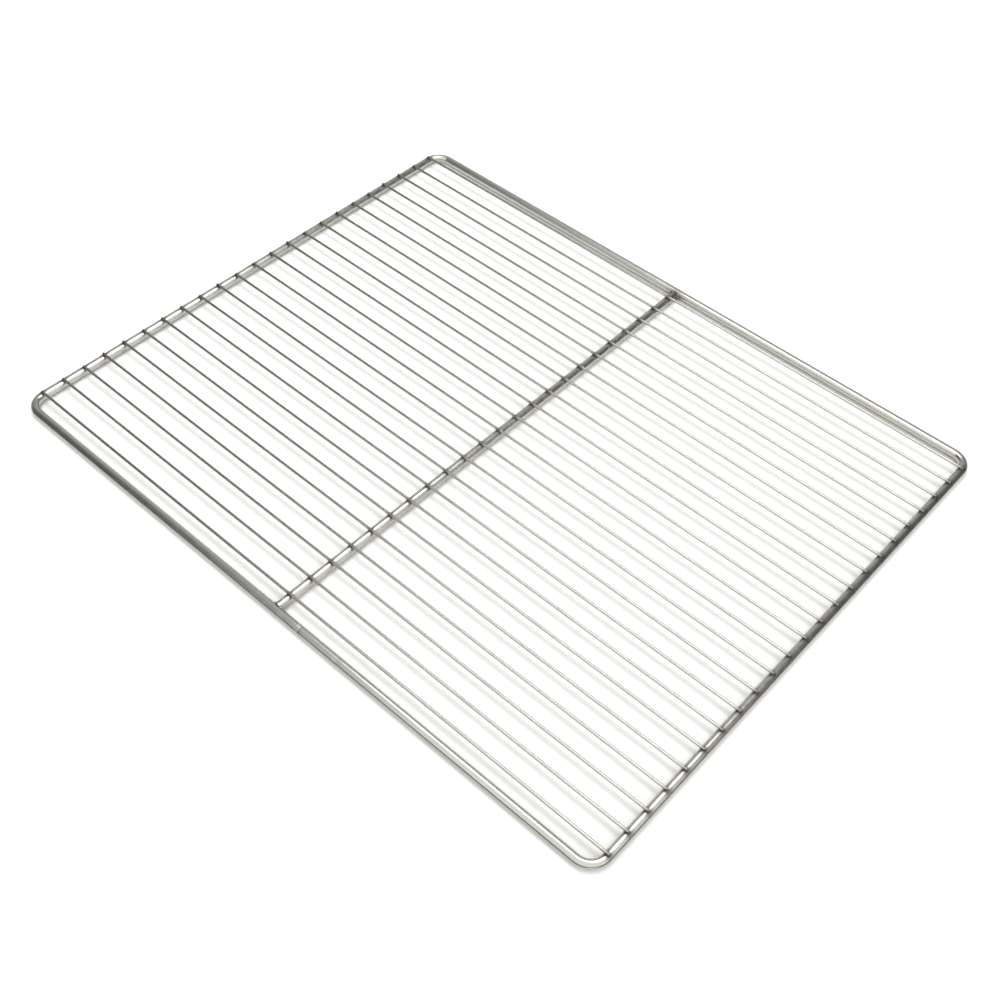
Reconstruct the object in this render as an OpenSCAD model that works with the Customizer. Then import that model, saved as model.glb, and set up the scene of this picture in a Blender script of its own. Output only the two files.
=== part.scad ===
// Welded wire cooling rack: a ring of round rod, one cross brace, and long wires on top.
// Origin at the centre of the footprint, on the surface the rack lies on. X runs along the
// long sides, Y along the short sides, Z up. Lengths in millimetres.

/* [Frame] */
// Outside length of the frame, along X
frame_l = 650; // [300:10:800]
// Outside width of the frame, along Y
frame_w = 530; // [200:10:700]
// Diameter of the frame rod and of the cross brace
rod_d = 8; // [6:0.5:12]
// Radius of the corner bends, to the rod's centreline
bend_r = 15; // [13:1:16]

/* [Wires] */
// Number of long wires
wire_count = 23; // [3:1:30]
// Diameter of a wire
wire_d = 2.5; // [2:0.1:3.2]
// Distance from the centreline of a long side to the first wire's centreline
edge_gap = 15.7; // [15:0.1:30]
// How deep a wire is pressed into the rods where it is welded
set_down = 0.3; // [0.1:0.05:0.5]
// How far the wires run past the centreline of the short sides
wire_overrun = 1.5; // [1.5:0.1:3]

/* [Welds] */
// Distance of the ring's butt weld from the middle of the front long side
butt_weld_x = 27; // [15:1:60]
// Width of the butt weld, along the rod
butt_weld_w = 4; // [2:0.5:6]
// How far the weld metal at the brace's ends stands out from the brace
brace_weld_leg = 1.4; // [1:0.1:3]

/* [Hidden] */
rod_r = rod_d / 2;
wire_r = wire_d / 2;
rod_x = frame_l / 2 - rod_r;  // centreline of the short sides
rod_y = frame_w / 2 - rod_r;  // centreline of the long sides
bend_x = rod_x - bend_r;      // centres of the corner bends
bend_y = rod_y - bend_r;
wire_pitch = 2 * (rod_y - edge_gap) / (wire_count - 1);
wire_z = rod_d - set_down + wire_r;
wire_l = 2 * (rod_x + wire_overrun);
foot_r = wire_r + 0.2;        // the wire's metal spreads this far at each weld
foot_top = rod_d + 0.35;
brace_bite = 0.375 * rod_r;   // the brace's ends are fused this far into the long sides
brace_l = 2 * (rod_y - rod_r + brace_bite);
weld_land = rod_d / 8;        // the brace welds stop short of the rod's top and underside
rod_fn = 64;
wire_fn = 32;

steel = "#b9b7b3";
bright_steel = "#cfcdc9";
weld_metal = "#a39f98";

function two_digits(n) = n < 10 ? str("0", n) : str(n);
function wire_name(n) = str("wire_", two_digits(n));
function wire_y(n) = (n - (wire_count + 1) / 2) * wire_pitch;

// A round bar along X, with its middle at x
module bar_x(length, d, x = 0, fn = rod_fn) {
    translate([x - length / 2, 0, 0]) rotate([0, 90, 0]) cylinder(h = length, d = d, $fn = fn);
}

// A round bar along Y, with its middle at the origin
module bar_y(length, d) {
    translate([0, length / 2, 0]) rotate([90, 0, 0]) cylinder(h = length, d = d, $fn = rod_fn);
}

// A quarter bend of rod that turns from +X to +Y round the origin
module quarter_bend() {
    rotate_extrude(angle = 90, $fn = 4 * rod_fn) translate([bend_r, 0]) circle(d = rod_d, $fn = rod_fn);
}

// The closed ring that the bent and welded rod makes
module ring() {
    translate([0, 0, rod_r]) {
        for (side = [-1, 1]) {
            translate([0, side * rod_y, 0]) bar_x(2 * bend_x, rod_d);
            translate([side * rod_x, 0, 0]) bar_y(2 * bend_y, rod_d);
        }
        translate([bend_x, bend_y, 0]) quarter_bend();
        translate([-bend_x, bend_y, 0]) rotate([0, 0, 90]) quarter_bend();
        translate([-bend_x, -bend_y, 0]) rotate([0, 0, 180]) quarter_bend();
        translate([bend_x, -bend_y, 0]) rotate([0, 0, 270]) quarter_bend();
    }
}

module brace_bar() {
    translate([0, 0, rod_r]) bar_y(brace_l, rod_d);
}

// The rod is one bent length, and its two ends stop at the butt weld
module perimeter_frame() {
    color(bright_steel) difference() {
        ring();
        translate([butt_weld_x - butt_weld_w / 2, -rod_y - rod_d, -rod_d])
            cube([butt_weld_w, 2 * rod_d, 3 * rod_d]);
    }
}

// Weld metal between the rod's two ends, ground flush with the rod
module frame_butt_weld() {
    color(weld_metal) translate([0, -rod_y, rod_r]) bar_x(butt_weld_w, rod_d, x = butt_weld_x);
}

// The brace's ends are coped to the round of the long sides
module centre_brace() {
    color(bright_steel) difference() {
        brace_bar();
        ring();
    }
}

// Two cheeks of weld metal in the corners between the brace and one long side
module brace_weld(side) {
    color(weld_metal) difference() {
        intersection() {
            translate([0, side * (rod_y - rod_r), rod_r]) sphere(r = rod_r + brace_weld_leg, $fn = rod_fn);
            // this block ends at the centreline of the long side
            translate([-2 * rod_d, side > 0 ? rod_y - 3 * rod_d : -rod_y, weld_land])
                cube([4 * rod_d, 3 * rod_d, rod_d - 2 * weld_land]);
        }
        brace_bar();
        ring();
    }
}

module brace_weld_front() { brace_weld(-1); }
module brace_weld_rear() { brace_weld(1); }

// One long wire, with a welded foot on each short side and on the brace
module wire(n) {
    color(steel) difference() {
        union() {
            translate([0, wire_y(n), wire_z]) bar_x(wire_l, wire_d, fn = wire_fn);
            for (x = [-rod_x, 0, rod_x])
                translate([x, wire_y(n), rod_r])
                    cylinder(h = foot_top - rod_r, r = foot_r, $fn = wire_fn);
        }
        ring();
        brace_bar();
    }
}

perimeter_frame();
frame_butt_weld();
centre_brace();
brace_weld_front();
brace_weld_rear();
for (n = [1:wire_count]) wire(n);
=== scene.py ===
"""A welded cooling rack of drawn stainless rod and wire, lying on a pale studio floor."""

import math

import bpy
import numpy as np
from mathutils import Matrix, Vector


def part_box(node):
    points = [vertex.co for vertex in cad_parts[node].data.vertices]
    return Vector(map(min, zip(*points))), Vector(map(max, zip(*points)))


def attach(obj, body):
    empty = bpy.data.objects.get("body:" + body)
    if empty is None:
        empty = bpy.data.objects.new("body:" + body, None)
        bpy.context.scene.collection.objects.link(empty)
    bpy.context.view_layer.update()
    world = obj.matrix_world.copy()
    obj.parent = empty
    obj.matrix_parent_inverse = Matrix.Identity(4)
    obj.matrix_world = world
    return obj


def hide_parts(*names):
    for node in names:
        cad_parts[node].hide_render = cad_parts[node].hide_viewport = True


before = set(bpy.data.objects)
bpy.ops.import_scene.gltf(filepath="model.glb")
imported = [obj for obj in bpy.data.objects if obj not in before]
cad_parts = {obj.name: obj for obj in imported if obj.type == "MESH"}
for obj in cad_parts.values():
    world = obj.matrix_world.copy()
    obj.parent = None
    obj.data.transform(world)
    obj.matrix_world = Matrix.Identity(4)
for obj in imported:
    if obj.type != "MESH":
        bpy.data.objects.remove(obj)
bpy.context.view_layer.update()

MM = 0.001

# Seeds for the small irregularities, so that every run gives the same rack.
ROD_SEED = 23
BUTT_WELD_SEED = 24
BEAD_SEED = 33
WIRE_SEED = 123

# Sizes and places of the rods and wires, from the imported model.
frame_low, frame_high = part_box("perimeter_frame")
weld_low, weld_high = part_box("frame_butt_weld")
brace_low, brace_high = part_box("centre_brace")
ROD_RADIUS = (frame_high.z - frame_low.z) / 2
ROD_HEIGHT = (frame_high.z + frame_low.z) / 2
SIDE_X = frame_high.x - ROD_RADIUS
SIDE_Y = frame_high.y - ROD_RADIUS
WELD_X = (weld_low.x + weld_high.x) / 2
BRACE_X = (brace_low.x + brace_high.x) / 2
BRACE_HALF = (brace_high.y - brace_low.y) / 2
WIRE_NAMES = sorted(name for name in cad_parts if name.startswith("wire_"))
CROSSINGS = (-SIDE_X, BRACE_X, SIDE_X)

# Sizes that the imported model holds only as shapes.
BEND_RADIUS = 15 * MM
WIRE_RADIUS = 1.25 * MM

# How finely the pieces are meshed.
ROD_SIDES = 56
WIRE_SIDES = 40
BEAD_SIDES = 24
ROD_STEP = 2.2 * MM
BEND_STEP = 1.0 * MM
WIRE_STEP = 8 * MM
WELD_STEP = 0.4 * MM
END_LEANS = np.radians([12, 24, 34, 42, 48, 53, 58, 63, 69, 76, 83])
SEARCH_STEPS = 30
SEARCH_HALVINGS = 11
SHARP_ANGLE = math.radians(40)


# Round bars as distances: below zero inside, zero at the skin, above zero outside.

def bar_distance(points, centre, along, radius):
    """Distance from an endless round bar that runs along axis 0, 1 or 2 through centre."""
    across = np.delete(points - np.array(centre), along, axis=-1)
    return np.linalg.norm(across, axis=-1) - radius


def cut_bar_distance(points, centre, along, half, radius, edge):
    """Distance from a round bar of a given half length whose end edges are rounded by edge."""
    offset = points - np.array(centre)
    across = np.linalg.norm(np.delete(offset, along, axis=-1), axis=-1) - radius + edge
    past = np.abs(offset[..., along]) - half + edge
    corner = np.hypot(np.maximum(across, 0), np.maximum(past, 0))
    return corner + np.minimum(np.maximum(across, past), 0) - edge


def blended(first, second, width):
    """Joins two distances with a fillet of about that width between the two skins."""
    near = np.maximum(width - np.abs(first - second), 0) / width
    return np.minimum(first, second) - near * near * width / 4


def leave_distance(origins, directions, solid, reach):
    """How far each ray goes, from a point inside the solid, before it first comes out."""
    inner = np.zeros(origins.shape[:-1])
    outer = np.full(origins.shape[:-1], reach)
    found = np.zeros(origins.shape[:-1], bool)
    for step in range(1, SEARCH_STEPS + 1):
        probe = reach * step / SEARCH_STEPS
        came_out = (solid(origins + directions * probe) > 0) & ~found
        outer[came_out] = probe
        inner[came_out] = reach * (step - 1) / SEARCH_STEPS
        found |= came_out
    for _ in range(SEARCH_HALVINGS):
        middle = (inner + outer) / 2
        outside = solid(origins + directions * middle[..., None]) > 0
        outer = np.where(outside, middle, outer)
        inner = np.where(outside, inner, middle)
    return inner


# Meshes from rings of points.

def circle(sides):
    """Angles round a section, from the underside and back to it."""
    return np.arange(sides) / sides * 2 * math.pi - math.pi / 2


def turned_from(angles, angle):
    """How far each angle is turned from another, within half a turn either way."""
    return (angles - angle + math.pi) % (2 * math.pi) - math.pi


def end_fans(index):
    """Triangles that close both ends of a skin, each fan round a pole listed after the rings."""
    first_pole = index.size
    fans = []
    for side in range(index.shape[1]):
        after = (side + 1) % index.shape[1]
        fans.append((first_pole, index[0, after], index[0, side]))
        fans.append((first_pole + 1, index[-1, side], index[-1, after]))
    return fans


def skin(name, rings, poles, grain, pole_grain, material, heat_and_shade=None):
    """One closed piece: rings of points joined by quads, and closed by a fan at each end.

    grain gives each point's place in its bar, as (across, up, along) in metres, for the material's
    pattern. heat_and_shade says how much weld heat tint and painted shade each point has, from 0 to
    1.
    """
    count, sides = rings.shape[:2]
    points = np.concatenate([rings.reshape(-1, 3), poles])
    grains = np.concatenate([grain.reshape(-1, 3), pole_grain])
    index = np.arange(count * sides).reshape(count, sides)
    turned = np.roll(index, -1, axis=1)
    quads = np.stack([index[:-1], turned[:-1], turned[1:], index[1:]], axis=-1).reshape(-1, 4)
    mesh = bpy.data.meshes.new(name)
    mesh.from_pydata(points.tolist(), [], quads.tolist() + end_fans(index))
    mesh.validate()
    store_grain(mesh, grains)
    store_tangents(mesh, grains, index)
    store_heat_and_shade(mesh, heat_and_shade)
    mesh.materials.append(material)
    mesh.shade_smooth()
    mesh.set_sharp_from_angle(angle=SHARP_ANGLE)
    piece = bpy.data.objects.new(name, mesh)
    bpy.context.scene.collection.objects.link(piece)
    return piece


def store_grain(mesh, grains):
    attribute = mesh.attributes.new("grain", "FLOAT_VECTOR", "POINT")
    attribute.data.foreach_set("vector", grains.astype(np.float32).ravel())


def store_heat_and_shade(mesh, heat_and_shade):
    """The weld heat tint and painted shade of the ring points, and none at the two poles."""
    values = np.zeros(len(mesh.vertices)) if heat_and_shade is None else np.append(heat_and_shade.ravel(), [0, 0])
    attribute = mesh.attributes.new("weld_heat_and_shade", "FLOAT", "POINT")
    attribute.data.foreach_set("value", values.astype(np.float32))


def store_tangents(mesh, grains, index):
    """A UV map whose first axis runs round the bar, so that the draw lines lie along it."""
    corners = np.zeros(len(mesh.loops), np.int32)
    mesh.loops.foreach_get("vertex_index", corners)
    radius = np.linalg.norm(grains[:, :2], axis=1).max()
    count, sides = index.shape
    turn = np.append(np.tile(np.arange(sides), count), [0, 0]) / sides
    around = turn[corners]
    carry_past_seam(mesh, around)
    layer = mesh.uv_layers.new(name="around")
    pairs = np.stack([around * 2 * math.pi * radius, grains[corners, 2]], axis=-1)
    layer.data.foreach_set("uv", pairs.astype(np.float32).ravel())


def carry_past_seam(mesh, around):
    """In each face that spans the seam, moves the corners beyond it on by one whole turn."""
    starts = np.zeros(len(mesh.polygons), np.int32)
    totals = np.zeros(len(mesh.polygons), np.int32)
    mesh.polygons.foreach_get("loop_start", starts)
    mesh.polygons.foreach_get("loop_total", totals)
    for start, total in zip(starts, totals):
        share = around[start:start + total]
        if share.max() - share.min() > 0.5:
            share[share < 0.5] += 1


def add_piece(piece, slot, *nodes):
    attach(piece, "root")
    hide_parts(*nodes)


# Materials.

# Patterns in the steel, as repeats per metre (across, up, along) the bar.
DIE_LINES = (3600, 3600, 26)
HAIR_SCRATCHES = (9000, 9000, 160)
MOTTLE = (260, 260, 190)
DRIFT = (60, 60, 14)

# The part of each pattern's values that shows, and how strongly.
WORN_RANGE = (0.35, 0.7)
DRIFT_RANGE = (0.4, 0.7)
DRIFT_SHARE = 0.5
ROUGH_RANGE = (0.3, 0.7)
MOTTLE_ROUGHNESS = 0.05
HAIR_DEPTH = 0.4
RELIEF_DEPTH = 0.02 * MM

# How weld heat tint, which also carries painted shade, changes the steel.
HEAT_AND_SHADE_TINT = 0.92
HEAT_ROUGHNESS = 0.14


class Nodes:
    """A node tree, with short calls to add and join nodes."""

    def __init__(self, tree):
        self.tree = tree

    def add(self, kind, inputs=None, **settings):
        node = self.tree.nodes.new(kind)
        for key, value in settings.items():
            setattr(node, key, value)
        for key, value in (inputs or {}).items():
            if isinstance(value, bpy.types.NodeSocket):
                self.tree.links.new(value, node.inputs[key])
            else:
                node.inputs[key].default_value = value
        return node

    def noise(self, vector, scale, detail, roughness=0.5):
        mapped = self.add("ShaderNodeMapping", {"Vector": vector, "Scale": scale})
        settings = {"Scale": 1.0, "Detail": detail, "Roughness": roughness}
        return self.add("ShaderNodeTexNoise", {"Vector": mapped.outputs[0], **settings}).outputs[0]

    def spread(self, value, low, high, to_low, to_high):
        limits = {"From Min": low, "From Max": high, "To Min": to_low, "To Max": to_high}
        return self.add("ShaderNodeMapRange", {"Value": value, **limits}).outputs[0]

    def eased(self, value, low, high):
        """From 0 at low to 1 at high, with a soft start and end."""
        inputs = {"Value": value, "From Min": low, "From Max": high}
        return self.add("ShaderNodeMapRange", inputs, interpolation_type="SMOOTHSTEP").outputs[0]

    def maths(self, operation, first, second):
        return self.add("ShaderNodeMath", {0: first, 1: second}, operation=operation).outputs[0]

    def mixed(self, factor, first, second):
        """A mix of two colours. Inputs 6 and 7 of the node are its colour sockets."""
        inputs = {0: factor, 6: first, 7: second}
        return self.add("ShaderNodeMix", inputs, data_type="RGBA").outputs[2]


def steel_colour(nodes, grain, lines, heat_and_shade, colours):
    """Clean and shaded steel in long streaks and slow drifts, under the tint of the welds, which
    also paints shade at the wire crossings and beside the butt weld.
    """
    colour, shade, tint_and_shade = colours
    drift = nodes.noise(grain, DRIFT, 2)
    worn = nodes.spread(lines, *WORN_RANGE, 0.0, 1.0)
    body = nodes.mixed(worn, colour, shade)
    body = nodes.mixed(nodes.spread(drift, *DRIFT_RANGE, 0.0, DRIFT_SHARE), body, shade)
    # The dark tint is weld heat tint, and at the wire crossings and beside the butt weld painted
    # shade as well.
    return nodes.mixed(nodes.maths("MULTIPLY", heat_and_shade, HEAT_AND_SHADE_TINT), body, tint_and_shade)


def steel_roughness(nodes, grain, lines, heat_and_shade, roughness, streak):
    """A mottled roughness, streaked along the die lines and rougher at the welds."""
    mottle = nodes.noise(grain, MOTTLE, 4, 0.6)
    least = roughness - MOTTLE_ROUGHNESS
    most = roughness + MOTTLE_ROUGHNESS
    rough = nodes.spread(mottle, *ROUGH_RANGE, least, most)
    rough = nodes.maths("ADD", rough, nodes.spread(lines, *ROUGH_RANGE, -streak, streak))
    return nodes.maths("ADD", rough, nodes.maths("MULTIPLY", heat_and_shade, HEAT_ROUGHNESS))


def steel_relief(nodes, grain, lines, bump):
    """Shallow die lines with finer hair scratches between them."""
    hairs = nodes.noise(grain, HAIR_SCRATCHES, 2)
    height = nodes.maths("ADD", lines, nodes.maths("MULTIPLY", hairs, HAIR_DEPTH))
    inputs = {"Height": height, "Strength": bump, "Distance": RELIEF_DEPTH}
    return nodes.add("ShaderNodeBump", inputs).outputs[0]


def steel(name, colours, roughness, anisotropy, streak, bump):
    """Drawn stainless steel. colours are the clean steel, its shade and its weld tint, which also
    stands for painted shade at the wire crossings and beside the butt weld.
    """
    material = bpy.data.materials.new(name)
    material.use_nodes = True
    material.node_tree.nodes.clear()
    nodes = Nodes(material.node_tree)
    grain = nodes.add("ShaderNodeAttribute", attribute_name="grain").outputs["Vector"]
    heat_and_shade = nodes.add("ShaderNodeAttribute", attribute_name="weld_heat_and_shade").outputs["Fac"]
    lines = nodes.noise(grain, DIE_LINES, 3, 0.6)
    tangent = nodes.add("ShaderNodeTangent", direction_type="UV_MAP", uv_map="around")
    shader = nodes.add("ShaderNodeBsdfPrincipled", {
        "Base Color": steel_colour(nodes, grain, lines, heat_and_shade, colours),
        "Metallic": 1.0,
        "Roughness": steel_roughness(nodes, grain, lines, heat_and_shade, roughness, streak),
        "Anisotropic": anisotropy,
        "Tangent": tangent.outputs[0],
        "Normal": steel_relief(nodes, grain, lines, bump),
    })
    output = nodes.add("ShaderNodeOutputMaterial")
    nodes.tree.links.new(shader.outputs[0], output.inputs["Surface"])
    return material


ROD_STEEL = steel(
    "drawn rod steel",
    [(0.585, 0.574, 0.54, 1), (0.475, 0.465, 0.432, 1), (0.12, 0.10, 0.08, 1)],
    roughness=0.20, anisotropy=0.4, streak=0.05, bump=0.5,
)
WIRE_STEEL = steel(
    "drawn wire steel",
    [(0.511, 0.507, 0.479, 1), (0.409, 0.406, 0.378, 1), (0.12, 0.103, 0.086, 1)],
    roughness=0.24, anisotropy=0.4, streak=0.04, bump=0.4,
)
WELD_STEEL = steel(
    "dressed weld steel",
    [(0.655, 0.638, 0.592, 1), (0.525, 0.507, 0.462, 1), (0.14, 0.115, 0.09, 1)],
    roughness=0.30, anisotropy=0.1, streak=0.06, bump=0.8,
)


# Weld heat tint and painted shade, as a strength at the spot and the distance over which it fades.

# At the wire crossings: weld heat tint, and painted shadow and reflection of the wire lying on the
# rod.
CROSSING_HEAT_AND_SHADE = (1.4, 3.2 * MM)
BRACE_FRONT_HEAT = (0.5, 6.0 * MM)
BRACE_REAR_HEAT = (0.8, 7.5 * MM)
BUTT_WELD_HEAT = (0.3, 4.5 * MM)
# Painted shade: a dark spot low on the outer side of the front rod, just beside the butt weld.
BUTT_WELD_SHADE = (1.0, 1.7 * MM)
BUTT_WELD_SHADE_OFFSET = Vector((1.4 * MM, -3.6 * MM, -1.4 * MM))

# Each bead is heated evenly.
FRONT_BEAD_HEAT = 0.35
REAR_BEAD_HEAT = 0.8


def spot_heat_and_shade(points, spot, strength, reach):
    """How much weld heat tint and painted shade from one spot has reached each point, up to 1."""
    far = np.linalg.norm(points - np.array(spot), axis=-1)
    return np.minimum(strength * np.exp(-(far / reach) ** 2), 1)


def rod_heat_and_shade(points):
    """Weld heat tint on the frame rod and the brace, from the wires, the brace ends and the butt
    weld, with painted shade where the wires cross and at a spot beside the butt weld.
    """
    heat_and_shade = np.zeros(points.shape[:-1])
    # Weld heat tint and painted shade where each wire lies across the rod.
    for x in CROSSINGS:
        for name in WIRE_NAMES:
            spot = (x, wire_y(name), ROD_HEIGHT + ROD_RADIUS)
            heat_and_shade = np.maximum(heat_and_shade, spot_heat_and_shade(points, spot, *CROSSING_HEAT_AND_SHADE))
    front = (BRACE_X, -SIDE_Y + ROD_RADIUS, ROD_HEIGHT)
    rear = (BRACE_X, SIDE_Y - ROD_RADIUS, ROD_HEIGHT)
    # Painted shade low on the outer side of the front rod, beside the butt weld.
    darkening = Vector((weld_high.x, -SIDE_Y, ROD_HEIGHT)) + BUTT_WELD_SHADE_OFFSET
    heat_and_shade = np.maximum(heat_and_shade, spot_heat_and_shade(points, front, *BRACE_FRONT_HEAT))
    heat_and_shade = np.maximum(heat_and_shade, spot_heat_and_shade(points, rear, *BRACE_REAR_HEAT))
    heat_and_shade = np.maximum(heat_and_shade, spot_heat_and_shade(points, darkening, *BUTT_WELD_SHADE))
    return np.maximum(heat_and_shade, butt_weld_heat(points))


def butt_weld_heat(points):
    """A band of weld heat tint right round the front rod on both sides of the butt weld."""
    strength, reach = BUTT_WELD_HEAT
    far = np.abs(points[..., 0] - WELD_X)
    on_front_rod = points[..., 1] < ROD_RADIUS - SIDE_Y + MM
    return strength * np.exp(-(far / reach) ** 2) * on_front_rod


def wire_heat_and_shade(points, centre):
    """Weld heat tint on a wire at its welds to the three rods, with painted shade where it crosses
    them.
    """
    heat_and_shade = np.zeros(points.shape[:-1])
    # Weld heat tint and painted shade where the wire crosses each rod.
    for x in CROSSINGS:
        spot = (x, centre[1], centre[2] - WIRE_RADIUS)
        heat_and_shade = np.maximum(heat_and_shade, spot_heat_and_shade(points, spot, *CROSSING_HEAT_AND_SHADE))
    return heat_and_shade


def wire_y(name):
    low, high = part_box(name)
    return (low.y + high.y) / 2


# The bent frame rod.

DENTS = 90
DENT_LENGTHS = (0.8, 3.0)
DENT_WIDTHS = (0.8, 2.0)
DENT_DEPTHS = (0.015, 0.05)
WELD_DRESSING = 0.05 * MM
WELD_DRESSING_REACH = 1.6 * MM
BEND_FLATTENING = 0.03


def bend_place(centre, degrees):
    """A place on the rod's centre line, in the bend round a corner."""
    angle = math.radians(degrees)
    return centre + BEND_RADIUS * Vector((math.cos(angle), math.sin(angle), 0))


def frame_path():
    """Centre line of the frame rod from one weld face to the other, and how bent it is there."""
    x = SIDE_X - BEND_RADIUS
    y = SIDE_Y - BEND_RADIUS
    corners = [(x, -y, -90), (x, y, 0), (-x, y, 90), (-x, -y, 180)]
    places = [Vector((weld_high.x, -SIDE_Y, 0))]
    bends = [0.0]
    steps = round(BEND_RADIUS * math.pi / 2 / BEND_STEP)
    for corner_x, corner_y, first in corners:
        centre = Vector((corner_x, corner_y, 0))
        add_straight(places, bends, bend_place(centre, first))
        for step in range(1, steps + 1):
            places.append(bend_place(centre, first + 90 * step / steps))
            bends.append(math.sin(math.pi * step / steps))
    add_straight(places, bends, Vector((weld_low.x, -SIDE_Y, 0)))
    return np.array(places), np.array(bends)


def add_straight(places, bends, end):
    start = places[-1]
    steps = max(1, round((end - start).length / ROD_STEP))
    for step in range(1, steps + 1):
        places.append(start.lerp(end, step / steps))
        bends.append(0.0)


def outward_of(places, along):
    """The level direction out of the rack at each place on the frame rod's centre line."""
    heading = np.gradient(places, along, axis=0)
    heading /= np.linalg.norm(heading, axis=1)[:, None]
    return np.stack([heading[:, 1], -heading[:, 0], np.zeros(len(places))], axis=-1)


def dents(along, angles):
    """Small handling dents, as depths below the round rod. Their size ranges are in mm."""
    rng = np.random.default_rng(ROD_SEED)
    depth = np.zeros((len(along), len(angles)))
    for _ in range(DENTS):
        place = rng.uniform(along[0], along[-1])
        angle = rng.uniform(-math.pi, math.pi)
        length = rng.uniform(*DENT_LENGTHS) * MM
        width = rng.uniform(*DENT_WIDTHS) * MM
        deep = rng.uniform(*DENT_DEPTHS) * MM
        turn = turned_from(angles, angle)
        spot = ((along[:, None] - place) / length) ** 2 + (turn[None, :] * ROD_RADIUS / width) ** 2
        depth += deep * np.exp(-spot)
    return depth


def frame_rod():
    """One rod bent round the rack, a little oval in its bends and dressed down beside its weld."""
    places, bends = frame_path()
    steps = np.linalg.norm(np.diff(places, axis=0), axis=1)
    along = np.append(0, np.cumsum(steps))
    outward = outward_of(places, along)
    angles = circle(ROD_SIDES)
    across = np.cos(angles)[None, :] * np.ones((len(places), 1))
    up = np.sin(angles)[None, :] * np.ones((len(places), 1))
    radius = ROD_RADIUS - dents(along, angles)
    ends = np.minimum(along, along[-1] - along)
    radius -= (WELD_DRESSING * np.exp(-(ends / WELD_DRESSING_REACH) ** 2))[:, None]
    squeeze = 1 - BEND_FLATTENING * bends[:, None] * (across > 0)
    rings = places[:, None, :] + outward[:, None, :] * (radius * across * squeeze)[..., None]
    rings[..., 2] = ROD_HEIGHT + radius * up
    grain = np.stack([radius * across, radius * up, along[:, None] * np.ones(across.shape)], axis=-1)
    poles = np.array([places[0], places[-1]])
    poles[:, 2] = ROD_HEIGHT
    pole_grain = np.array([(0, 0, along[0]), (0, 0, along[-1])])
    piece = skin("bent_frame_rod", rings, poles, grain, pole_grain, ROD_STEEL, rod_heat_and_shade(rings))
    add_piece(piece, "frame_rod", "perimeter_frame")


# The butt weld that closes the frame rod.

BUTT_WELD_RINGS = 19
GROOVE_DEPTH = 0.05 * MM
GRINDER_FACETS = 14
FACET_TURN = 0.35
FACET_SHARE = 0.5
FACET_PLACES = (-0.8, 0.8)
FACET_DEPTHS = (0.01, 0.04)


def grinder_facets(share, angles):
    """Soft flats left by grinding, as depths. share is the place along the weld, from -1 to 1."""
    rng = np.random.default_rng(BUTT_WELD_SEED)
    depth = np.zeros((len(share), len(angles)))
    for _ in range(GRINDER_FACETS):
        angle = rng.uniform(-math.pi, math.pi)
        centre = rng.uniform(*FACET_PLACES)
        turn = turned_from(angles, angle)
        spot = (turn[None, :] / FACET_TURN) ** 2
        spot = spot + ((share[:, None] - centre) / FACET_SHARE) ** 2
        depth += rng.uniform(*FACET_DEPTHS) * MM * np.exp(-spot)
    return depth


def butt_weld():
    """The closing weld, ground back flush, with a shallow groove where it meets the rod."""
    places = np.linspace(weld_low.x, weld_high.x, BUTT_WELD_RINGS)
    share = np.linspace(-1, 1, BUTT_WELD_RINGS)
    angles = circle(ROD_SIDES)
    groove = GROOVE_DEPTH * np.abs(share) ** 6
    radius = ROD_RADIUS - groove[:, None] - grinder_facets(share, angles)
    up = radius * np.sin(angles)[None, :]
    across = radius * np.cos(angles)[None, :]
    along = places[:, None] * np.ones(radius.shape)
    rings = np.stack([along, across - SIDE_Y, up + ROD_HEIGHT], axis=-1)[:, ::-1]
    grain = np.stack([across, up, along], axis=-1)[:, ::-1]
    poles = np.array([(places[0], -SIDE_Y, ROD_HEIGHT), (places[-1], -SIDE_Y, ROD_HEIGHT)])
    pole_grain = np.array([(0, 0, places[0]), (0, 0, places[-1])])
    piece = skin("dressed_butt_weld", rings, poles, grain, pole_grain, WELD_STEEL)
    add_piece(piece, "weld_metal", "frame_butt_weld")


# Bars whose welded places flow into the rods that they meet.

def stations(half, spots, reach, coarse):
    """Places along a bar, close together near the spots where it is welded."""
    places = {round(p, 7) for p in np.arange(-half, half, coarse)}
    for spot in spots:
        places |= {round(p, 7) for p in np.arange(spot - reach, spot + reach, WELD_STEP)}
    closest = WELD_STEP * 0.6
    kept = []
    for place in sorted(p for p in places if -half < p < half):
        if not kept or place - kept[-1] > closest:
            kept.append(place)
    return np.array(kept)


def bar_rays(places, ends, along, centre, sides):
    """Rays from a bar's axis: straight out at each place, then leaning over towards each end."""
    axis = np.zeros(3)
    axis[along] = 1
    side = np.array((0.0, 1.0, 0.0)) if along == 0 else np.array((-1.0, 0.0, 0.0))
    upward = np.array((0.0, 0.0, 1.0))
    angles = circle(sides)
    round_out = np.cos(angles)[:, None] * side + np.sin(angles)[:, None] * upward
    count = len(END_LEANS)
    starts = np.concatenate([np.full(count, ends[0]), places, np.full(count, ends[1])])
    lean = np.concatenate([-END_LEANS[::-1], np.zeros(len(places)), END_LEANS])
    origins = centre + starts[:, None, None] * axis + np.zeros((1, sides, 3))
    directions = np.cos(lean)[:, None, None] * round_out[None] + np.sin(lean)[:, None, None] * axis
    return origins, directions, axis


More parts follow.
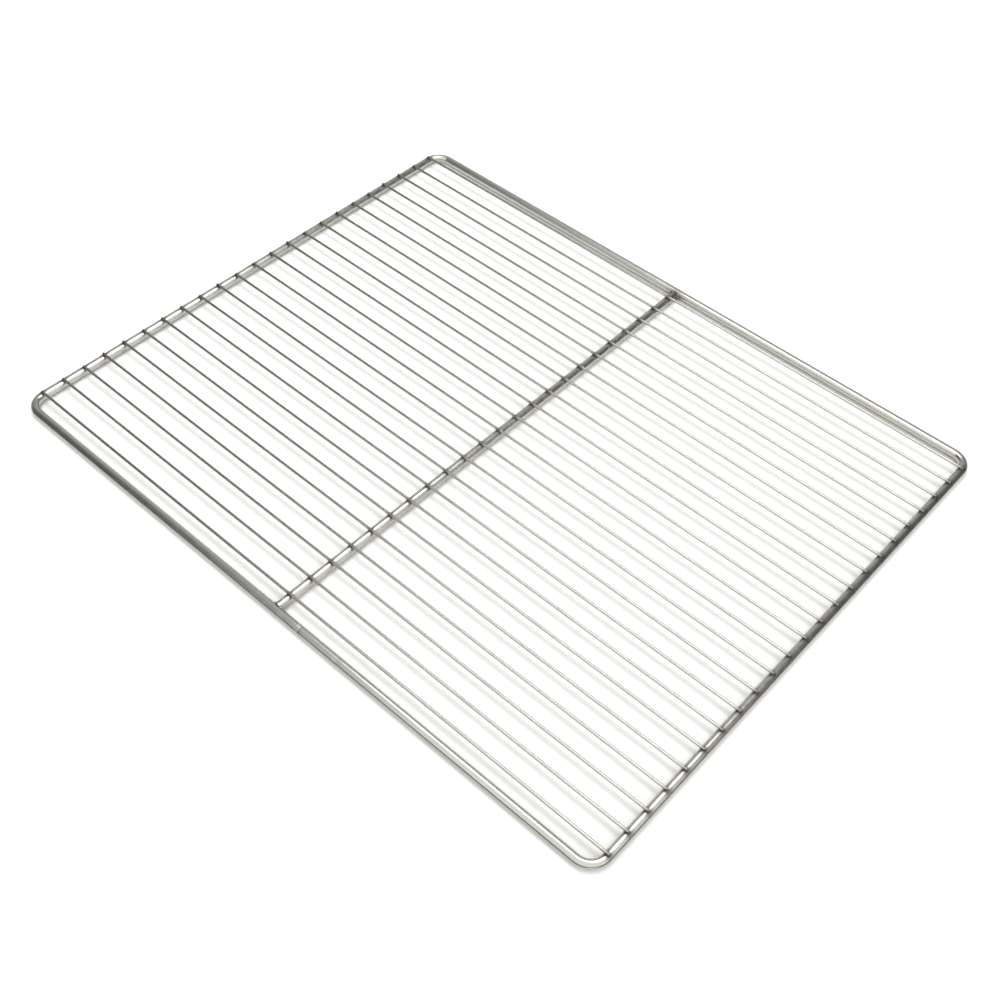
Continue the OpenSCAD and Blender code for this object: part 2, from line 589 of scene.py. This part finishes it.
def bar(name, places, ends, along, centre, sides, solid, reach, material, shift, heat_and_shade_of):
    """A closed piece whose skin is where rays from the bar's axis leave the solid.

    The bar runs along axis 0 or 1 through centre. reach is longer than any ray inside the solid,
    shift bends the finished skin and heat_and_shade_of gives the weld heat tint and painted shade at
    its points.
    """
    origins, directions, axis = bar_rays(places, ends, along, centre, sides)
    far = leave_distance(origins, directions, solid, reach)
    rings = origins + directions * far[..., None]
    tips = np.array([centre + axis * ends[0], centre + axis * ends[1]])
    outward = np.array([-axis, axis])
    poles = tips + outward * leave_distance(tips, outward, solid, reach)[:, None]
    grain = local_grain(rings, centre, along)
    pole_grain = local_grain(poles, centre, along)
    heat_and_shade = heat_and_shade_of(rings)
    rings = rings + shift(rings[..., along])
    poles = poles + shift(poles[..., along])
    return skin(name, rings, poles, grain, pole_grain, material, heat_and_shade)


def local_grain(points, centre, along):
    offset = points - centre
    across = offset[..., 1] if along == 0 else -offset[..., 0]
    return np.stack([across, offset[..., 2], offset[..., along]], axis=-1)


# The wires.

WIRE_END_EDGE = 0.22 * MM
WIRE_END_INSET = 1.1 * MM
WIRE_ROD_OVERLAP = 0.15 * MM
WIRE_WELD_REACH = 7.5 * MM
WIRE_RAY = 3.4 * MM
PRESSED_LENGTH = 1.7 * MM

# Ranges in mm, from which each wire draws its own sizes.
WIRE_SHORTFALLS = (0.0, 1.3)
WIRE_FILLETS = (0.7, 1.3)
WIRE_FLATS = (0.03, 0.09)
WIRE_BOWS = (-0.18, 0.18)
WIRE_SAGS = (0.0, 0.15)


def pressed_on(distance, points, top, spot, fillet, flat):
    """A wire's distance with one rod's weld added: a flat pressed on top, a fillet below."""
    rod = bar_distance(points, (spot, 0, ROD_HEIGHT), 1, ROD_RADIUS)
    press = flat * np.exp(-((points[..., 0] - spot) / PRESSED_LENGTH) ** 2)
    distance = np.maximum(distance, points[..., 2] - top + press)
    distance = blended(distance, rod, fillet)
    return np.maximum(distance, -rod - WIRE_ROD_OVERLAP)


def wire_bend(x, bow, sag):
    """How far a wire strays sideways and down between its welds."""
    share = x / SIDE_X
    sideways = bow[0] * np.sin(math.pi * share) + bow[1] * np.sin(math.pi * share) ** 2
    down = -sag * np.sin(math.pi * share) ** 2
    return np.stack([np.zeros(x.shape), sideways, down], axis=-1)


def wire_places(ends):
    """Places along a wire from one end to the other, close together at its welds."""
    places = stations(SIDE_X + 5 * MM, CROSSINGS, WIRE_WELD_REACH, WIRE_STEP)
    clear = 0.1 * MM
    places = places[(places > ends[0] + clear) & (places < ends[1] - clear)]
    return np.concatenate([[ends[0]], places, [ends[1]]])


def wire(name, number):
    """One drawn wire, pressed a little into the three rods that it is welded to."""
    rng = np.random.default_rng(WIRE_SEED + number)
    low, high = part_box(name)
    centre = np.array((0, (low.y + high.y) / 2, high.z - WIRE_RADIUS))
    half_ends = (high.x - low.x) / 2 - rng.uniform(*WIRE_SHORTFALLS, 2) * MM
    fillets = rng.uniform(*WIRE_FILLETS, 3) * MM
    flats = rng.uniform(*WIRE_FLATS, 3) * MM
    bow = rng.uniform(*WIRE_BOWS, 2) * MM
    sag = rng.uniform(*WIRE_SAGS) * MM
    middle = (half_ends[1] - half_ends[0]) / 2
    half = (half_ends[0] + half_ends[1]) / 2
    wire_centre = centre + np.array((middle, 0, 0))

    def solid(points):
        distance = cut_bar_distance(points, wire_centre, 0, half, WIRE_RADIUS, WIRE_END_EDGE)
        for spot, fillet, flat in zip(CROSSINGS, fillets, flats):
            distance = pressed_on(distance, points, high.z, spot, fillet, flat)
        return distance

    def shift(x):
        return wire_bend(x, bow, sag)

    def heat_and_shade_of(points):
        return wire_heat_and_shade(points, centre)

    ends = (middle - half + WIRE_END_INSET, middle + half - WIRE_END_INSET)
    piece = bar(
        f"drawn_{name}", wire_places(ends), ends, along=0, centre=centre, sides=WIRE_SIDES,
        solid=solid, reach=WIRE_RAY, material=WIRE_STEEL, shift=shift, heat_and_shade_of=heat_and_shade_of,
    )
    add_piece(piece, "grid_wire", name)


# The centre rod and its welds.

BRACE_END_EDGE = 0.4 * MM
BRACE_END_INSET = 0.6 * MM
BRACE_FILLET = 1.0 * MM
BRACE_ROD_OVERLAP = 0.1 * MM
BRACE_WELD_REACH = 6 * MM
BRACE_RAY = 7.5 * MM
BEAD_RINGS = 45
BEAD_REACH = math.radians(50)
BEAD_WIDTH = 1.25 * MM
BEAD_HEIGHT = 0.95 * MM
BEAD_RAISE = 0.25
BEAD_UNEVENNESS = 0.1
BEAD_END_SWELL = 0.03
RIPPLE_PITCH = 0.62 * MM
RIPPLE_DEPTH = 0.07


def brace_solid(points):
    """Distance from the centre rod, its ends shaped to sit against the frame's long sides."""
    centre = (BRACE_X, 0, ROD_HEIGHT)
    distance = cut_bar_distance(points, centre, 1, BRACE_HALF, ROD_RADIUS, BRACE_END_EDGE)
    for y in (-SIDE_Y, SIDE_Y):
        rod = bar_distance(points, (0, y, ROD_HEIGHT), 0, ROD_RADIUS)
        distance = blended(distance, rod, BRACE_FILLET)
        distance = np.maximum(distance, -rod - BRACE_ROD_OVERLAP)
    return distance


def unbent(y):
    return np.zeros(y.shape + (3,))


def brace_rod():
    """The centre rod, from one long side of the frame to the other."""
    centre = np.array((BRACE_X, 0, ROD_HEIGHT))
    end = SIDE_Y - ROD_RADIUS - BRACE_END_INSET
    places = stations(end, (-end, end), BRACE_WELD_REACH, ROD_STEP)
    places = np.concatenate([[-end], places, [end]])
    piece = bar(
        "centre_brace_rod", places, (-end, end), along=1, centre=centre, sides=ROD_SIDES,
        solid=brace_solid, reach=BRACE_RAY, material=ROD_STEEL, shift=unbent, heat_and_shade_of=rod_heat_and_shade,
    )
    add_piece(piece, "frame_rod", "centre_brace")


def bead_seam(side, end, angles):
    """The line where the brace meets a long side, and the direction out of that corner."""
    cos = np.cos(angles)
    sin = np.sin(angles)
    seam = np.stack([
        side * ROD_RADIUS * cos + BRACE_X,
        end * (SIDE_Y - ROD_RADIUS * cos),
        ROD_HEIGHT + ROD_RADIUS * sin,
    ], axis=-1)
    outward = np.stack([side * cos, -end * cos, 2 * sin], axis=-1)
    outward /= np.linalg.norm(outward, axis=1)[:, None]
    return seam, outward


def weld_bead(name, side, end, darkening, rng):
    """One rippled bead in the corner on one side of the brace, at its front or rear end."""
    angles = np.linspace(-BEAD_REACH, BEAD_REACH, BEAD_RINGS)
    share = angles / BEAD_REACH
    seam, outward = bead_seam(side, end, angles)
    heading = np.gradient(seam, axis=0)
    heading /= np.linalg.norm(heading, axis=1)[:, None]
    across = np.cross(heading, outward)
    along = np.append(0, np.cumsum(np.linalg.norm(np.diff(seam, axis=0), axis=1)))
    turn = 2 * math.pi * along / RIPPLE_PITCH + rng.uniform(0, 6)
    swell = np.sqrt(np.clip(1 - share ** 2, BEAD_END_SWELL, 1)) * (1 + RIPPLE_DEPTH * np.cos(turn))
    wide = BEAD_WIDTH * swell * (1 + BEAD_UNEVENNESS * np.sin(3 * share + rng.uniform(0, 6)))
    tall = BEAD_HEIGHT * swell
    cos = np.cos(circle(BEAD_SIDES))[None]
    sin = np.sin(circle(BEAD_SIDES))[None]
    rings = seam[:, None, :] + across[:, None, :] * (wide[:, None] * cos)[..., None]
    rings = rings + outward[:, None, :] * (tall[:, None] * (BEAD_RAISE + sin))[..., None]
    lengthwise = along[:, None] * np.ones((BEAD_RINGS, BEAD_SIDES))
    grain = np.stack([wide[:, None] * cos, tall[:, None] * sin, lengthwise], axis=-1)
    poles = np.array([seam[0], seam[-1]])
    pole_grain = np.array([(0, 0, along[0]), (0, 0, along[-1])])
    heat_and_shade = np.full(rings.shape[:2], darkening)
    return skin(name, rings, poles, grain, pole_grain, WELD_STEEL, heat_and_shade)


def brace_welds():
    """The two weld beads at each end of the centre rod, as one piece for each end."""
    for end, place, darkening in ((-1, "front", FRONT_BEAD_HEAT), (1, "rear", REAR_BEAD_HEAT)):
        rng = np.random.default_rng(BEAD_SEED + end)
        beads = [
            weld_bead(f"bead_{place}_{side}", side, end, darkening, rng)
            for side in (-1, 1)
        ]
        bpy.ops.object.select_all(action="DESELECT")
        for bead in beads:
            bead.select_set(True)
        bpy.context.view_layer.objects.active = beads[0]
        bpy.ops.object.join()
        beads[0].name = f"brace_weld_beads_{place}"
        add_piece(beads[0], "weld_metal", f"brace_weld_{place}")


# The studio.

FLOOR_HALF = 12.0
FLOOR_COLOUR = (0.92, 0.922, 0.897, 1)
FLOOR_GLOW = 0.5
FLOOR_GLOW_RANGE = (0.5, 2.0)
MAT_COLOUR = (0.16, 0.16, 0.16, 1)
MAT_GAP = 7 * MM
MAT_HALF = 1.3
MAT_HEIGHT = 0.2 * MM

# The room, as directions from the rack: its lit part fades out between these two values.
LIT_EDGE_X = (-0.575, -0.335)
LIT_EDGE_Y = (0.54, 0.42)
LIT_GLOW = (1.30, 1.30, 1.30, 1)
DIM_GLOW = (0.14, 0.70)
DIM_RANGE = (0.1, 1.35)
DIM_FALL = 1.6


def matte(name, colour, roughness, specular):
    """A plain matte material, and its shader."""
    material = bpy.data.materials.new(name)
    material.use_nodes = True
    shader = material.node_tree.nodes["Principled BSDF"]
    shader.inputs["Base Color"].default_value = colour
    shader.inputs["Roughness"].default_value = roughness
    shader.inputs["Specular IOR Level"].default_value = specular
    return material, shader


def stage_piece(name, points, faces, material):
    mesh = bpy.data.meshes.new(name)
    mesh.from_pydata(points, [], faces)
    mesh.materials.append(material)
    stage = bpy.data.objects.new(name, mesh)
    bpy.context.scene.collection.objects.link(stage)
    return stage


def floor():
    """A wide pale floor that glows a little far away, so that it meets the white room unseen."""
    material, shader = matte("pale floor", FLOOR_COLOUR, roughness=0.9, specular=0.1)
    shader.inputs["Emission Color"].default_value = (1, 1, 1, 1)
    nodes = Nodes(material.node_tree)
    place = nodes.add("ShaderNodeTexCoord").outputs["Object"]
    far = nodes.add("ShaderNodeVectorMath", {0: place}, operation="LENGTH").outputs["Value"]
    glow = nodes.spread(far, *FLOOR_GLOW_RANGE, 0.0, FLOOR_GLOW)
    nodes.tree.links.new(glow, shader.inputs["Emission Strength"])
    signs = ((-1, -1), (1, -1), (1, 1), (-1, 1))
    corners = [(x * FLOOR_HALF, y * FLOOR_HALF, 0) for x, y in signs]
    stage_piece("floor", corners, [(0, 1, 2, 3)], material)


def dark_surround():
    """A dark mat round the rack that only its steel mirrors, to draw its outer edges."""
    material, _ = matte("dark mat", MAT_COLOUR, roughness=1.0, specular=0.0)
    inner = (frame_high.x + MAT_GAP, frame_high.y + MAT_GAP)
    outer = (MAT_HALF, MAT_HALF)
    points = []
    for x, y in (inner, outer):
        for sign_x, sign_y in ((-1, -1), (1, -1), (1, 1), (-1, 1)):
            points.append((sign_x * x, sign_y * y, MAT_HEIGHT))
    faces = [(side, (side + 1) % 4, (side + 1) % 4 + 4, side + 4) for side in range(4)]
    stage = stage_piece("dark surround", points, faces, material)
    stage.visible_camera = False
    stage.visible_diffuse = False
    stage.visible_shadow = False


def area_light(name, place, width, depth, energy):
    """A rectangular soft light that faces the middle of the rack."""
    light = bpy.data.lights.new(name, "AREA")
    light.shape = "RECTANGLE"
    light.size = width
    light.size_y = depth
    light.energy = energy
    lamp = bpy.data.objects.new(name, light)
    lamp.location = place
    lamp.rotation_euler = (-math.asin(place.y / place.length), math.atan2(place.x, place.z), 0.0)
    lamp.visible_camera = False
    bpy.context.scene.collection.objects.link(lamp)
    return lamp


def softbox():
    """The main light, high up to the left and a little behind, which draws the shadows."""
    lamp = area_light("softbox", Vector((-1.3, 0.9, 4.0)), width=2.9, depth=1.9, energy=78.0)
    lamp.visible_glossy = False


def white_card():
    """A bright card overhead that only the steel mirrors."""
    lamp = area_light("white card", Vector((-0.05, 0.34, 1.5)), width=1.1, depth=0.7, energy=9.2)
    lamp.visible_diffuse = False


def room():
    """The room that the steel mirrors: bright behind the camera, dim beyond the rack."""
    world = bpy.data.worlds.new("room")
    world.use_nodes = True
    world.node_tree.nodes.clear()
    nodes = Nodes(world.node_tree)
    heading = nodes.add("ShaderNodeTexCoord").outputs["Generated"]
    parts = nodes.add("ShaderNodeSeparateXYZ", {0: heading}).outputs
    right_part = nodes.eased(parts["X"], *LIT_EDGE_X)
    front_part = nodes.eased(parts["Y"], *LIT_EDGE_Y)
    lit = nodes.maths("MULTIPLY", right_part, front_part)
    far_left = nodes.maths("SUBTRACT", parts["Y"], parts["X"])
    beyond = nodes.maths("POWER", nodes.spread(far_left, *DIM_RANGE, 0.0, 1.0), DIM_FALL)
    dim = nodes.spread(beyond, 0.0, 1.0, *DIM_GLOW)
    glow = nodes.mixed(lit, dim, LIT_GLOW)
    seen = nodes.add("ShaderNodeLightPath").outputs["Is Camera Ray"]
    shown = nodes.mixed(seen, glow, (1, 1, 1, 1))
    background = nodes.add("ShaderNodeBackground", {"Color": shown, "Strength": 1.0})
    output = nodes.add("ShaderNodeOutputWorld")
    nodes.tree.links.new(background.outputs[0], output.inputs["Surface"])
    bpy.context.scene.world = world


def camera():
    """A three-quarter view from above the front right corner."""
    aim = Vector((52.2 * MM, -56.1 * MM, ROD_HEIGHT))
    azimuth = math.radians(39.36)
    elevation = math.radians(49.50)
    distance = 1.1271
    roll = math.radians(3.31)
    back = Vector((
        math.sin(azimuth) * math.cos(elevation),
        -math.cos(azimuth) * math.cos(elevation),
        math.sin(elevation),
    ))
    data = bpy.data.cameras.new("camera")
    data.sensor_width = 36.0
    data.lens = 48.24
    rig = bpy.data.objects.new("camera", data)
    turn = (-back).to_track_quat("-Z", "Y").to_matrix()
    turn = turn @ Matrix.Rotation(roll, 3, "Z")
    rig.matrix_world = Matrix.Translation(aim + back * distance) @ turn.to_4x4()
    bpy.context.scene.collection.objects.link(rig)
    bpy.context.scene.camera = rig


camera()
floor()
dark_surround()
softbox()
white_card()
room()
bpy.context.scene.view_settings.view_transform = "Standard"

frame_rod()
butt_weld()
brace_rod()
brace_welds()
for number, name in enumerate(WIRE_NAMES):
    wire(name, number)
